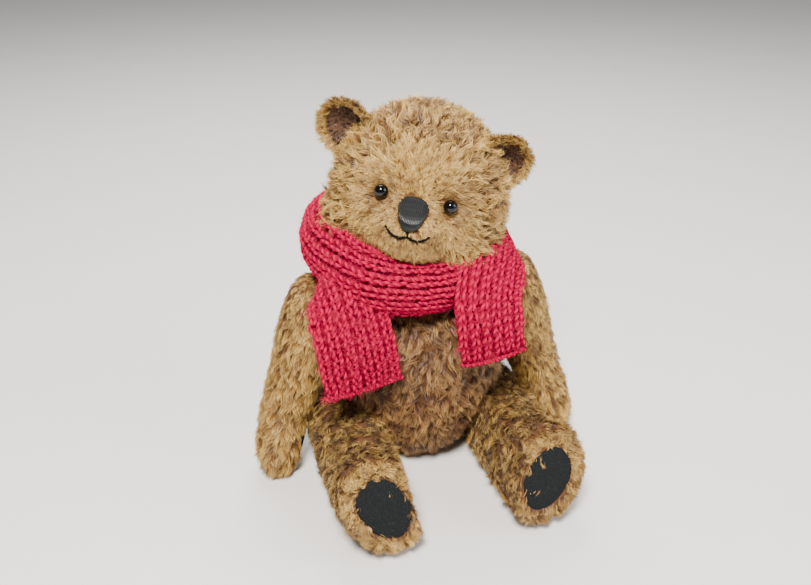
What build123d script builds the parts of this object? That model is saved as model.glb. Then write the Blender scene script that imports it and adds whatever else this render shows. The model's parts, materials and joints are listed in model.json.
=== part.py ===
from build123d import *
import math
import os

# Jointed mohair teddy bear wearing a knitted scarf, sitting with its hands on the floor.
# Millimetres. The bear faces -Y, its left side is +X, the floor is z = 0.

# ---- cloth and clearances -------------------------------------------------------------
skin_t = 0.8             # backing cloth of the fur and of the pads
joint_gap = 0.3          # between a limb and the body at a joint
soft_gap = 0.35          # between the scarf and what it hangs on

# ---- body -----------------------------------------------------------------------------
body_outline = [         # (radius, height) of the egg, from the seat to the neck
    (7.0, 0.0), (13.5, 4.0), (19.0, 12.0), (22.8, 23.0), (24.0, 34.0),
    (23.6, 43.0), (20.8, 50.0), (15.5, 56.0), (10.0, 60.0),
]

# ---- neck and head --------------------------------------------------------------------
neck_at = Vector(-4.0, -2.0, 56.0)
neck_tilt = 11.5         # lean of the neck's axis from upright
neck_lean_to = -16.0     # compass direction of that lean, from +X
head_turn = -22.0        # facing direction at rest, from -Y
skull = (22.0, 20.0, 24.5)       # half axes: across, front to back, up
skull_up = 21.8
muzzle = (11.2, 14.0, 8.6)
muzzle_forward = 12.5
muzzle_up = 20.0
ear_r = 7.2
ear_side = 20.3
ear_up = 35.5
ear_back_by = 1.5
ear_open = 28.0          # turn of the ear's cup away from straight ahead
ear_lean = 32.0          # lean of the ear from upright
ear_back_t = 1.6
ear_lining_t = 1.0
ear_lining_r = 6.4
eye_r = 1.75
eye_side = 8.6
eye_up = 28.0
eye_sink = 0.4           # part of the eye's radius below the skin
eye_wire_r = 0.35
eye_wire_deep = 5.0
nose_w = 6.8
nose_h = 6.6
nose_up = 25.6
nose_t = 0.9
mouth_t = 0.45
mouth_thread_w = 0.8

# ---- arms -----------------------------------------------------------------------------
shoulder_at = Vector(21.3, -2.0, 45.5)
arm_splay = 17.0         # slope of the arm's plane away from upright
arm_mid = 6.9            # arm's centre line to the joint's flat
arm_stations = [         # (down the arm, forward, outward, half width, half thickness)
    (-8.8, 0.0, 0.0, 4.0, 3.8), (-6.6, 0.0, 0.0, 7.0, 7.0), (-2.0, 0.0, 0.0, 8.5, 8.2),
    (7.0, 0.3, 0.0, 8.6, 8.4), (18.0, 0.3, 0.6, 7.9, 7.3), (29.0, 0.8, 1.2, 6.9, 6.4),
    (37.0, 2.4, 1.3, 6.9, 6.2), (43.0, 4.4, 1.2, 6.4, 5.7), (46.6, 6.0, 1.0, 4.6, 4.1),
    (48.2, 6.9, 0.9, 2.6, 2.4),
]
paw_pad_from = 33.0      # down the arm
paw_pad_to = 46.5
paw_pad_w = 9.0
paw_pad_deep = 4.6       # how far the pad's edge wraps out from the arm's inner side

# ---- legs -----------------------------------------------------------------------------
hip_at = Vector(14.3, -3.0, 12.3)
leg_splay = 12.0         # slope of the leg's plane away from upright
leg_mid = 7.4            # leg's centre line to the joint's flat
leg_stations = [         # (forward of the hip, up, half height, half width, outward roll)
    (-10.2, 0.0, 3.4, 3.4, 0), (-8.4, 0.0, 6.8, 7.0, 0), (-4.0, 0.0, 9.3, 9.4, 0),
    (3.0, 0.0, 10.3, 9.9, 0), (14.0, -0.2, 10.0, 9.7, 4), (25.0, -0.6, 9.3, 9.0, 12),
    (33.0, 0.6, 9.6, 8.8, 17), (38.0, 2.0, 11.0, 9.2, 18), (42.0, 2.6, 11.2, 9.0, 18),
    (44.4, 2.7, 10.2, 8.0, 18),
]
leg_lift = 15.0          # highest and lowest turn of the leg that the body leaves room for
leg_drop = 100.0
foot_pad_t = 3.0         # depth of the sole's cap
insole_t = 1.2

# ---- disc joints ----------------------------------------------------------------------
pin_r = 0.8
pin_head_r = 1.7
pin_head_t = 0.9
pin_curl_r = 1.0
pin_curl_wire_r = 0.4
pin_run = 0.08           # running clearance of the pin in the holes it turns in
disc_t = 1.5
washer_t = 0.5
washer_r = 3.2
arm_disc_r = 4.5
leg_disc_r = 6.0
neck_disc_r = 7.4
room = 0.4               # free space round what turns inside the stuffing

# ---- scarf ----------------------------------------------------------------------------
scarf_t = 2.8            # thickness of one layer of the knitting
collar_centre = Vector(-2.5, -1.5, 61.8)
collar_outline = [       # (radius, height) round the neck
    (17.5, -9.0), (25.5, -9.5), (28.6, -5.0), (29.0, 3.5), (27.6, 6.0), (25.6, 5.8), (21.3, -2.0),
]
collar_tilt = 5.0

os.makedirs("parts", exist_ok=True)
far = 200.0
origin = Vector(0, 0, 0)


# ---- joint frames: local z is the joint's axis, from the body out into the limb -------
def turned(degrees, length=1.0):
    """Sine and cosine of an angle."""
    return length * math.sin(math.radians(degrees)), length * math.cos(math.radians(degrees))


arm_s, arm_c = turned(arm_splay)
leg_s, leg_c = turned(leg_splay)
tilt_s, tilt_c = turned(neck_tilt)
lean_s, lean_c = turned(neck_lean_to)
turn_s, turn_c = turned(head_turn)

shoulder = Plane(shoulder_at, x_dir=(arm_s, 0, -arm_c), z_dir=(arm_c, 0, arm_s))
hip = Plane(hip_at, x_dir=(0, 1, 0), z_dir=(leg_c, 0, -leg_s))
neck_axis = Vector(tilt_s * lean_c, tilt_s * lean_s, tilt_c)
head_left = Vector(turn_c, turn_s, 0)
head_left = (head_left - neck_axis * head_left.dot(neck_axis)).normalized()
neck = Plane(neck_at, x_dir=head_left, z_dir=neck_axis)


def slab(z_from, z_to, size=far):
    """A wide flat block between two heights of its own frame."""
    return Pos(0, 0, (z_from + z_to) / 2) * Box(size, size, z_to - z_from)


def rod(radius, z_from, z_to):
    return Pos(0, 0, (z_from + z_to) / 2) * Cylinder(radius, z_to - z_from)


def ellipsoid(half, centre=(0, 0, 0), inset=0.0):
    sizes = tuple(h - inset for h in half)
    return Pos(*centre) * scale(Sphere(1.0), by=sizes)


# ---- the hardware of one joint, in the joint's own frame ------------------------------
skin_in = joint_gap / 2 + skin_t
disc_in = skin_in + disc_t
washer_in = disc_in + washer_t
head_in = washer_in + pin_head_t
curl_in = washer_in + 2 * (pin_curl_r + pin_curl_wire_r) + room


def joint_hardware(disc_r):
    """Pin, discs and washers; the pin belongs to the limb and turns in the body's holes."""
    limb_hole = rod(pin_r, -far, far)
    body_hole = rod(pin_r + pin_run, -far, far)
    curl = Rot(90, 0, 0) * Torus(pin_curl_r, pin_curl_wire_r)
    curl_z = -washer_in - room / 2 - pin_curl_r - pin_curl_wire_r
    pin = rod(pin_r, curl_z, washer_in) + rod(pin_head_r, washer_in, head_in)
    pin += Pos(-pin_curl_r, 0, curl_z) * curl
    pin += Pos(pin_curl_r, 0, curl_z) * curl
    return {
        "pin": pin,
        "limb_disc": rod(disc_r, skin_in, disc_in) - limb_hole,
        "limb_washer": rod(washer_r, disc_in, washer_in) - limb_hole,
        "body_disc": rod(disc_r, -disc_in, -skin_in) - body_hole,
        "body_washer": rod(washer_r, -washer_in, -disc_in) - body_hole,
    }


def limb_pocket(disc_r):
    """The space that the limb's stuffing leaves for its half of the joint."""
    return rod(disc_r, 0, disc_in) + rod(washer_r, 0, washer_in) + rod(pin_head_r, 0, head_in)


def body_pocket(disc_r):
    """The same in the body, with room for the pin's curled legs to turn."""
    curl_room = 2 * pin_curl_r + pin_curl_wire_r + room
    return rod(disc_r, -disc_in, 0) + rod(washer_r, -washer_in, 0) + rod(curl_room, -curl_in, 0)


joints = {"shoulder": (shoulder, arm_disc_r), "hip": (hip, leg_disc_r)}


def mirrored(shape):
    return mirror(shape, about=Plane.YZ)


def both_sides(shape):
    return shape + mirrored(shape)


# ---- body -----------------------------------------------------------------------------
def leg_room():
    """What a leg sweeps, beyond the hip's flat, as a fan of straight strips."""
    half = max(math.hypot(forward, half_up) for forward, _, half_up, _, _ in leg_stations[:3])
    half += 2 * joint_gap
    strips = 6
    fan = Circle(half)
    for i in range(strips):
        lift = leg_lift - (leg_lift + leg_drop) * i / (strips - 1)
        fan += Rot(0, 0, 180 - lift) * Rectangle(70, 2 * half, align=(Align.MIN, Align.CENTER))
    return extrude(fan, 60)


def egg_form(inset):
    """The round form of the body before its joints are cut, shrunk by inset."""
    outline = [Vector(max(r - inset, 0.5), 0, z) for r, z in body_outline]
    outline[0] = Vector(body_outline[0][0] - inset, 0, inset)
    side = Spline(*outline)
    top = Line(outline[-1], (0, 0, outline[-1].Z))
    axis = Line(top @ 1, (0, 0, outline[0].Z))
    seat = Line(axis @ 1, outline[0])
    return revolve(make_face(Curve() + [side, top, axis, seat]), Axis.Z)


def body_form(inset):
    """The body, cut flat at the neck, shoulders and hips, shrunk by inset."""
    flat = joint_gap / 2 + inset
    egg = egg_form(inset)
    egg -= neck.location * slab(-flat, far)
    egg -= both_sides(shoulder.location * slab(-flat, far))
    egg -= both_sides(hip.location * (Pos(0, 0, -flat) * leg_room()))
    return egg


body_outer = body_form(0)
body_inner = body_form(skin_t)
holes = neck.location * rod(pin_r + pin_run, -10, 10)
pockets = neck.location * body_pocket(neck_disc_r)
for frame, disc_r in joints.values():
    holes += both_sides(frame.location * rod(pin_r + pin_run, -10, 10))
    pockets += both_sides(frame.location * body_pocket(disc_r))

parts = {
    "body_skin": body_outer - body_inner - holes,
    "body_stuffing": body_inner - pockets,
}


# ---- head, in the frame of the neck joint ---------------------------------------------
def head_form(inset):
    """Skull and muzzle in one, cut flat over the neck joint."""
    form = ellipsoid(skull, (0, 0, skull_up), inset)
    form += ellipsoid(muzzle, (0, -muzzle_forward, muzzle_up), inset)
    return form - slab(-far, joint_gap / 2 + inset)


def skull_front(x, z):
    """Distance forward of the skull's surface at a place on the face."""
    across = (x / skull[0]) ** 2 + ((z - skull_up) / skull[2]) ** 2
    return skull[1] * math.sqrt(1 - across)


head_outer = head_form(0)
head_inner = head_form(skin_t)
eye_y = -(skull_front(eye_side, eye_up) + eye_r * (1 - eye_sink))
eye_tail = eye_y + eye_r + eye_wire_deep


def eye_place(side):
    return Pos(side * eye_side, eye_y, eye_up)


def eye_wire(side, radius):
    """The wire shank from the back of the glass into the head."""
    length = eye_tail - eye_y
    return eye_place(side) * (Rot(-90, 0, 0) * rod(radius, 0, length))


def ear_frame(side):
    """The cup's frame: local -y is the way the ear opens, local z its top."""
    place = Pos(side * ear_side, ear_back_by, ear_up)
    return place * Rot(0, side * ear_lean, 0) * Rot(0, 0, side * ear_open)


def ear_piece(side, radius, front, back):
    plate = Rot(90, 0, 0) * rod(radius, -back, -front)
    return Part() + (ear_frame(side) * plate) - head_outer


def on_muzzle(outline, thickness):
    """Stitching of some thickness that lies on the muzzle inside a drawn outline."""
    thick = ellipsoid(muzzle, (0, -muzzle_forward, muzzle_up), -thickness)
    block = extrude(Plane.XZ * outline, muzzle[1] + muzzle_forward + 5, dir=(0, -1, 0))
    return Part() + (thick & block) - head_outer


def nose_outline():
    """A shield: flat rounded top, narrowing to the mouth's thread."""
    w, h = nose_w / 2, nose_h / 2
    points = [(-w, h * 0.5), (-w * 0.75, h), (w * 0.75, h), (w, h * 0.5), (w * 0.35, -h), (-w * 0.35, -h)]
    return Pos(0, nose_up, 0) * Polygon(*points, align=None)


def mouth_outline():
    """One thread down from the nose and a turned-up branch to each side."""
    t = mouth_thread_w / 2
    top = nose_up - nose_h / 2
    fork = top - 1.2
    corner_x, corner_z = 5.4, top - 1.6
    low_x, low_z = 2.6, top - 3.0
    right = [(0, fork + t), (low_x, low_z + t), (corner_x, corner_z + t),
             (corner_x, corner_z - t), (low_x, low_z - t), (0, fork - t)]
    left = [(-x, z) for x, z in reversed(right)]
    stem = Pos(0, (top + fork) / 2 - t) * Rectangle(2 * t, top - fork + t)
    return stem + Polygon(*right, align=None) + Polygon(*left, align=None)


head_hardware = joint_hardware(neck_disc_r)
wires = eye_wire(1, eye_wire_r) + eye_wire(-1, eye_wire_r)
eye_balls = eye_place(1) * Sphere(eye_r) + eye_place(-1) * Sphere(eye_r)
head_parts = {
    "head_skin": head_outer - head_inner - rod(pin_r, -5, 5) - wires - eye_balls,
    "head_stuffing": head_inner - limb_pocket(neck_disc_r) - wires - eye_balls,
    "nose_stitching": on_muzzle(nose_outline(), nose_t),
    "mouth_stitching": on_muzzle(mouth_outline(), mouth_t),
}
for name, side in (("left", 1), ("right", -1)):
    head_parts[name + "_eye"] = eye_place(side) * Sphere(eye_r)
    head_parts[name + "_eye_wire"] = eye_wire(side, eye_wire_r) - eye_place(side) * Sphere(eye_r)
    head_parts[name + "_ear_back"] = ear_piece(side, ear_r, 0, ear_back_t)
    head_parts[name + "_ear_lining"] = ear_piece(side, ear_lining_r, -ear_lining_t, 0)
for name, shape in head_parts.items():
    parts[name] = neck.location * shape
head_names = {"limb_disc": "head_disc", "limb_washer": "head_washer"}
for name, shape in head_hardware.items():
    parts["neck_" + head_names.get(name, name)] = neck.location * shape


# ---- limbs, in the frames of their joints ---------------------------------------------
def arm_form(inset):
    """The arm lofted down its stations, flat at the shoulder."""
    rings = []
    last = len(arm_stations) - 1
    for i, (down, forward, outward, half_w, half_t) in enumerate(arm_stations):
        down += inset if i == 0 else -inset if i == last else 0
        ring = Ellipse(half_t - inset, half_w - inset)
        plane = Plane((down, -forward, arm_mid + outward), x_dir=(0, 0, 1), z_dir=(1, 0, 0))
        rings.append(plane * ring)
    return loft(rings) - slab(-far, joint_gap / 2 + inset)


def leg_form(inset):
    """The leg lofted forward along its stations, the foot turned up and rolled out."""
    rings = []
    last = len(leg_stations) - 1
    for i, (forward, up, half_up, half_w, roll) in enumerate(leg_stations):
        forward += inset if i == 0 else -inset if i == last else 0
        s, c = turned(roll)
        plane = Plane((-forward, up, leg_mid), x_dir=(0, c, s), z_dir=(1, 0, 0))
        rings.append(plane * Ellipse(half_up - inset, half_w - inset))
    return loft(rings) - slab(-far, joint_gap / 2 + inset)


arm_outer = arm_form(0)
arm_inner = arm_form(skin_t)
leg_outer = leg_form(0)
leg_inner = leg_form(skin_t)

pad_length = paw_pad_to - paw_pad_from
pad_middle = (paw_pad_from + paw_pad_to) / 2
pad_top = joint_gap / 2 + paw_pad_deep
paw_region = Pos(pad_middle, -3.6, 0) * extrude(Ellipse(pad_length / 2, paw_pad_w / 2), pad_top)
sole = leg_stations[-1][0]
sole_region = Pos(-sole, 0, 0) * Box(2 * foot_pad_t, far, far)


def foot_card():
    """The stiff card behind the sole, of the sole's own shape."""
    forward, up, half_up, half_w, roll = leg_stations[-1]
    s, c = turned(roll)
    plane = Plane((skin_t - forward, up, leg_mid), x_dir=(0, c, s), z_dir=(1, 0, 0))
    return extrude(plane * Ellipse(half_up - 2.5 * skin_t, half_w - 2.5 * skin_t), insole_t)


insole = foot_card()

arm_parts = {
    "arm_skin": arm_outer - arm_inner - paw_region - rod(pin_r, -5, 5),
    "arm_stuffing": arm_inner - limb_pocket(arm_disc_r),
    "paw_pad": Part() + ((arm_outer - arm_inner) & paw_region),
}
leg_parts = {
    "leg_skin": leg_outer - leg_inner - sole_region - rod(pin_r, -5, 5),
    "leg_stuffing": leg_inner - insole - limb_pocket(leg_disc_r),
    "foot_pad": Part() + ((leg_outer - leg_inner) & sole_region),
    "foot_card": insole,
}
limbs = (("arm", "shoulder", arm_parts), ("leg", "hip", leg_parts))
for limb, joint, pieces in limbs:
    frame, disc_r = joints[joint]
    labels = {"limb_disc": limb + "_disc", "limb_washer": limb + "_washer"}
    placed = dict(pieces)
    for name, shape in joint_hardware(disc_r).items():
        placed[joint + "_" + labels.get(name, name)] = shape
    for name, shape in placed.items():
        on_left = frame.location * shape
        parts["left_" + name] = on_left
        parts["right_" + name] = mirrored(on_left)


# ---- scarf ----------------------------------------------------------------------------
def collar():
    """The bunched band round the neck, turned about a slightly tilted axis."""
    band = revolve(Plane.XZ * Polygon(*collar_outline, align=None), Axis.Z)
    return Pos(*collar_centre) * Rot(0, collar_tilt, 0) * band


def tail(corners, middle_y, bow):
    """A hanging end: four corners seen from the front, its lower edge nearer the belly."""
    plate = extrude(Plane.XZ * Polygon(*corners, align=None), scarf_t, dir=(0, -1, 0))
    return Pos(0, middle_y, 0) * Rot(0, 0, bow) * plate


tail_right = tail([(-33.0, 61.0), (-12.5, 56.5), (-10.5, 33.0), (-30.5, 31.0)], -24.0, -4.0)
tail_left = tail([(1.0, 60.0), (18.5, 69.0), (22.5, 39.0), (9.5, 41.0)], -25.0, 6.0)
scarf = collar() + tail_right + tail_left
arm_turn_r = max(math.hypot(station[0], station[3]) for station in arm_stations[:3]) + 2 * soft_gap
scarf -= egg_form(-soft_gap)
scarf -= both_sides(shoulder.location * rod(arm_turn_r, -joint_gap, 3 * arm_mid))
parts["scarf"] = scarf

floor_cut = slab(-far, 0, 2 * far)
for name, shape in parts.items():
    piece = shape - floor_cut if shape.bounding_box().min.Z < 0 else shape
    export_step(piece, os.path.join("parts", name + ".step"))
    print(f"{name:28s} solids {len(piece.solids())} volume {piece.volume:10.1f}")
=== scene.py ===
import json
import math

import bpy
import numpy as np
from mathutils import Matrix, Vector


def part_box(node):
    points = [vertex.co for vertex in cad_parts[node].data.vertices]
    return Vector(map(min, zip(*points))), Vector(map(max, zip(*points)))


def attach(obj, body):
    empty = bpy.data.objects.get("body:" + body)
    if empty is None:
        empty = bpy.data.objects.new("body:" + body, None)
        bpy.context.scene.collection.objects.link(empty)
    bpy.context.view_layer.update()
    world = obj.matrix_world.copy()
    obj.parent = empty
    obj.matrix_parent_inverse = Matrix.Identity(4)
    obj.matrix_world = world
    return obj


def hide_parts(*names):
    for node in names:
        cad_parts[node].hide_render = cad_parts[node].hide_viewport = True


# A jointed mohair bear in a rib-knitted scarf. Shapes are worked out in millimetres in the CAD
# frame (the bear faces -Y, its left side is +X, the floor is z = 0) and written in metres.

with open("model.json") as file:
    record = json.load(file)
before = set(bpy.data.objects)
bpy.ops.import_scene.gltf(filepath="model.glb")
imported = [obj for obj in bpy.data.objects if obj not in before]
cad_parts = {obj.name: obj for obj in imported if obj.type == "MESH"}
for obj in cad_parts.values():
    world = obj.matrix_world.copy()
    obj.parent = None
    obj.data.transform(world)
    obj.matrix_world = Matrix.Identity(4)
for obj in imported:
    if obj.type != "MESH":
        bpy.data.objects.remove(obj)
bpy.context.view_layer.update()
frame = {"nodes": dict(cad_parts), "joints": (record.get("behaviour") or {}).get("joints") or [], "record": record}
MM = 0.001
TAU = 2 * math.pi
SEED = 20
FIBRE_MAP = "OFBake"     # each thread's and fibre's own map: across or tone, then root to tip


# ======================================================================================
# Small tools: frames, smooth interpolation, meshes from arrays
# ======================================================================================
def unit(v):
    v = np.asarray(v, float)
    return v / np.maximum(np.linalg.norm(v, axis=-1, keepdims=True), 1e-9)


def dot(a, b):
    return np.sum(a * b, axis=-1, keepdims=True)


def rotation(axis, degrees):
    """The matrix that turns about an axis by the right-hand rule."""
    x, y, z = unit(axis)
    a = math.radians(degrees)
    k = np.array([[0, -z, y], [z, 0, -x], [-y, x, 0]])
    return np.eye(3) + math.sin(a) * k + (1 - math.cos(a)) * k @ k


class Place:
    """A local frame: an origin and three axes as columns."""

    def __init__(self, origin, x_axis, z_axis):
        z = unit(z_axis)
        x = unit(np.asarray(x_axis, float) - z * np.dot(x_axis, z))
        self.origin = np.asarray(origin, float)
        self.axes = np.stack([x, np.cross(z, x), z], axis=1)

    def out(self, points):
        return np.asarray(points) @ self.axes.T + self.origin


def smooth_between(keys, values, at):
    """A curve through the values with the slope of the two neighbours at each key."""
    keys = np.asarray(keys, float)
    values = np.asarray(values, float)
    slope = np.gradient(values, keys, axis=0)
    at = np.clip(at, keys[0], keys[-1])
    i = np.clip(np.searchsorted(keys, at, side="right") - 1, 0, len(keys) - 2)
    step = keys[i + 1] - keys[i]
    t = (at - keys[i]) / step
    if values.ndim > 1:
        t, step = t[..., None], step[..., None]
    a, b, da, db = values[i], values[i + 1], slope[i] * step, slope[i + 1] * step
    t2, t3 = t * t, t * t * t
    return (2 * t3 - 3 * t2 + 1) * a + (t3 - 2 * t2 + t) * da + (3 * t2 - 2 * t3) * b + (t3 - t2) * db


def make_mesh(name, points, faces, uv=None, smooth=True):
    """A mesh object from points in millimetres; faces is a list of index arrays (n, 3 or 4)."""
    points = np.asarray(points, float).reshape(-1, 3) * MM
    mesh = bpy.data.meshes.new(name)
    mesh.vertices.add(len(points))
    mesh.vertices.foreach_set("co", points.ravel())
    loops = np.concatenate([f.ravel() for f in faces]).astype(np.int32)
    sizes = np.concatenate([np.full(len(f), f.shape[1]) for f in faces]).astype(np.int32)
    starts = np.concatenate([[0], np.cumsum(sizes)[:-1]]).astype(np.int32)
    mesh.loops.add(len(loops))
    mesh.loops.foreach_set("vertex_index", loops)
    mesh.polygons.add(len(sizes))
    mesh.polygons.foreach_set("loop_start", starts)
    mesh.polygons.foreach_set("loop_total", sizes)
    if uv is not None:
        layer = mesh.uv_layers.new(name=FIBRE_MAP)
        layer.uv.foreach_set("vector", np.asarray(uv, np.float32).reshape(-1, 2)[loops].ravel())
    mesh.update(calc_edges=True)
    mesh.polygons.foreach_set("use_smooth", np.full(len(sizes), smooth))
    piece = bpy.data.objects.new(name, mesh)
    bpy.context.scene.collection.objects.link(piece)
    return piece


def grid_faces(rows, columns, flip=False):
    """Quads of a grid of points, its last column joined to its first."""
    r = np.arange(rows - 1)[:, None]
    c = np.arange(columns)[None, :]
    n = (c + 1) % columns
    quads = np.stack([r * columns + c, r * columns + n, (r + 1) * columns + n, (r + 1) * columns + c], -1)
    quads = quads.reshape(-1, 4)
    return quads[:, ::-1] if flip else quads


def faces_out(points):
    """True if a step across columns times a step down rows points out, from the signed volume."""
    ring = np.concatenate([points, points[:, :1]], axis=1) - points.mean((0, 1))
    a, b = ring[:-1, :-1], ring[1:, :-1]
    c, d = ring[:-1, 1:], ring[1:, 1:]
    return dot(a, np.cross(c, d) + np.cross(d, b)).sum() > 0


def closed_grid(name, points):
    """A grid (rows, columns, 3) closed round its columns, with a pole at its first and last row."""
    rows, columns = points.shape[:2]
    flip = not faces_out(points)
    poles = np.stack([points[0].mean(0), points[-1].mean(0)])
    every = np.concatenate([points.reshape(-1, 3), poles])
    c = np.arange(columns)
    n = (c + 1) % columns
    first = np.stack([np.full(columns, rows * columns), n, c], -1)
    base = (rows - 1) * columns
    last = np.stack([np.full(columns, rows * columns + 1), base + c, base + n], -1)
    if flip:
        first, last = first[:, ::-1], last[:, ::-1]
    return make_mesh(name, every, [grid_faces(rows, columns, flip=flip), first, last])


def tubes(name, lines, radius, sides=7, flat=1.0, up=None, taper=None):
    """Round threads along many lines (count, steps, 3), closed at their ends.

    Each ring of a thread is a circle, flattened by flat, across the line's direction."""
    lines = np.asarray(lines, float)
    count, steps = lines.shape[:2]
    along = unit(np.gradient(lines, axis=1))
    guide = np.broadcast_to([0.0, -1.0, 0.3] if up is None else up, lines.shape)
    side = unit(np.cross(along, guide))
    lift = np.cross(side, along)
    turn = np.linspace(0, TAU, sides, endpoint=False)
    size = np.full((count, steps), radius)
    if taper is not None:
        size = radius * np.broadcast_to(taper, (count, steps))
    size = size[..., None, None]
    rings = lines[:, :, None] + size * (
        np.cos(turn)[:, None] * side[:, :, None] + flat * np.sin(turn)[:, None] * lift[:, :, None])
    ends = lines[:, [0, -1]]
    per = steps * sides + 2
    every = np.concatenate([rings.reshape(count, -1, 3), ends], axis=1)
    quads = grid_faces(steps, sides)
    c = np.arange(sides)
    n = (c + 1) % sides
    first = np.stack([np.full(sides, steps * sides), n, c], -1)
    base = (steps - 1) * sides
    last = np.stack([np.full(sides, steps * sides + 1), base + c, base + n], -1)
    shift = (np.arange(count) * per)[:, None, None]
    faces = [(f[None] + shift).reshape(-1, f.shape[1]) for f in (quads, np.concatenate([first, last]))]
    u = np.broadcast_to(0.02 + 0.96 * np.arange(sides) / sides, (count, steps, sides))
    v = np.broadcast_to(np.linspace(0.02, 0.98, steps)[:, None], (count, steps, sides))
    uv = np.concatenate([np.stack([u, v], -1).reshape(count, -1, 2),
                         np.tile([[0.5, 0.0], [0.5, 1.0]], (count, 1, 1))], axis=1)
    return make_mesh(name, every, faces, uv)


# ======================================================================================
# Materials: shader maths written as expressions
# ======================================================================================
class Value:
    """A socket of a material; operators between values add the nodes that work them out."""

    def __init__(self, kit, socket):
        self.kit, self.socket = kit, socket

    def math(self, operation, other=None):
        pair = [self] if other is None else [self, other]
        return self.kit.node("ShaderNodeMath", {"operation": operation}, pair)

    def __add__(self, o):
        return self.math("ADD", o)

    def __mul__(self, o):
        return self.math("MULTIPLY", o)

    __radd__, __rmul__ = __add__, __mul__


class Kit:
    """One material and the nodes that are added to it."""

    def __init__(self, name):
        self.material = bpy.data.materials.new(name)
        self.material.use_nodes = True
        self.tree = self.material.node_tree
        self.shader = self.tree.nodes["Principled BSDF"]
        self.material.diffuse_color = (0.4, 0.3, 0.2, 1)

    def node(self, kind, settings=None, inputs=(), output=0):
        made = self.tree.nodes.new(kind)
        for key, value in (settings or {}).items():
            setattr(made, key, value)
        items = inputs.items() if isinstance(inputs, dict) else enumerate(inputs)
        for key, value in items:
            self.feed(made.inputs[key], value)
        return Value(self, made.outputs[output])

    def feed(self, socket, value):
        if isinstance(value, Value):
            self.tree.links.new(value.socket, socket)
        else:
            socket.default_value = value

    def ramp(self, factor, stops):
        made = self.tree.nodes.new("ShaderNodeValToRGB")
        band = made.color_ramp
        while len(band.elements) < len(stops):
            band.elements.new(0.5)
        for element, (at, color) in zip(band.elements, stops):
            element.position = at
            element.color = rgb(color)
        self.feed(made.inputs[0], factor)
        return Value(self, made.outputs[0])

    def mix(self, factor, a, b):
        made = self.tree.nodes.new("ShaderNodeMix")
        made.data_type = "RGBA"
        for socket, value in zip((made.inputs[0], made.inputs[6], made.inputs[7]), (factor, a, b)):
            self.feed(socket, rgb(value) if isinstance(value, str) else value)
        return Value(self, made.outputs[2])

    def place(self):
        return self.node("ShaderNodeTexCoord", output=3)

    def noise(self, scale, detail=3.0):
        sockets = {"Vector": self.place(), "Scale": scale, "Detail": detail}
        return self.node("ShaderNodeTexNoise", None, sockets)

    def along_fibre(self):
        """The two numbers of the fibre's own map: its tone, and root to tip."""
        uv = self.node("ShaderNodeUVMap", {"uv_map": FIBRE_MAP})
        return (self.node("ShaderNodeSeparateXYZ", None, [uv], 0),
                self.node("ShaderNodeSeparateXYZ", None, [uv], 1))

    def bump(self, height, strength, distance):
        return self.node("ShaderNodeBump", None,
                         {"Height": height, "Strength": strength, "Distance": distance})

    def finish(self, **sockets):
        for key, value in sockets.items():
            self.feed(self.shader.inputs[key.replace("_", " ")],
                      rgb(value) if isinstance(value, str) else value)
        return self.material


def rgb(text):
    """A colour written as six hexadecimal digits, in linear light."""
    parts = [int(text[i:i + 2], 16) / 255 for i in (0, 2, 4)]
    return tuple(p / 12.92 if p <= 0.04045 else ((p + 0.055) / 1.055) ** 2.4 for p in parts) + (1.0,)


def pile(name, dark, light, roughness=0.5, sheen=0.08):
    """Mohair: each fibre is darker at its root, painted shade deep in the pile, and its tone runs from dark to
    light.
    """
    kit = Kit(name)
    tone, way = kit.along_fibre()
    # Both ramps darken from tip to root: painted shade deep in the pile, on every pile made here.
    deep = kit.ramp(way, list(zip((0.0, 0.45, 1.0), dark)))
    pale = kit.ramp(way, list(zip((0.0, 0.45, 1.0), light)))
    return kit.finish(Base_Color=kit.mix(tone, deep, pale), Roughness=roughness,
                      Sheen_Weight=sheen, Sheen_Roughness=0.4, Specular_IOR_Level=0.45)


def backing(name, color, other):
    """The woven backing cloth under the pile."""
    kit = Kit(name)
    blotch = kit.noise(260.0)
    weave = kit.noise(2600.0, 2.0)
    return kit.finish(Base_Color=kit.mix(blotch, color, other), Roughness=0.95,
                      Normal=kit.bump(weave, 0.6, 0.0003))


def suede(name):
    """Charcoal suede: a fine brushed nap with paler worn specks."""
    kit = Kit(name)
    nap = kit.noise(2400.0, 4.0)
    blotch = kit.noise(420.0, 3.0)
    specks = kit.ramp(nap, [(0.0, "080a0b"), (0.52, "0f1213"), (0.64, "1d2224"), (1.0, "42494c")])
    tone = kit.mix(blotch, "0b0d0e", "171b1d")
    return kit.finish(Base_Color=kit.mix(0.55, tone, specks), Roughness=0.92, Specular_IOR_Level=0.2,
                      Normal=kit.bump(nap, 0.8, 0.0002))


def yarn(name):
    """Plied crimson wool: slanting plies round each strand, with painted shade in their grooves and painted
    highlight on their crowns.
    """
    kit = Kit(name)
    around, along = kit.along_fibre()
    twist = ((around * 2 + along * 2.2) * TAU).math("SINE") * 0.5 + 0.5
    # Colour from the plies: painted shade in the grooves, painted highlight on the crowns.
    color = kit.ramp(twist, [(0.0, "80002a"), (0.5, "a20034"), (1.0, "bc023e")])
    return kit.finish(Base_Color=color, Roughness=0.9, Sheen_Weight=0.03, Sheen_Roughness=0.35,
                      Sheen_Tint=rgb("ff3070"), Normal=kit.bump(twist, 0.5, 0.00025),
                      Specular_IOR_Level=0.05)


def wool_back(name):
    """The purl side between the ribs, darker than the yarn of the stitches: painted shade of the recesses between
    the ribs.
    """
    kit = Kit(name)
    fibres = kit.noise(1500.0, 4.0)
    # The darker crimson is painted shade between the ribs.
    tone = kit.ramp(fibres, [(0.3, "5a0018"), (0.7, "98002e")])
    return kit.finish(Base_Color=tone, Roughness=0.95, Specular_IOR_Level=0.1,
                      Normal=kit.bump(fibres, 0.8, 0.0004))


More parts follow.
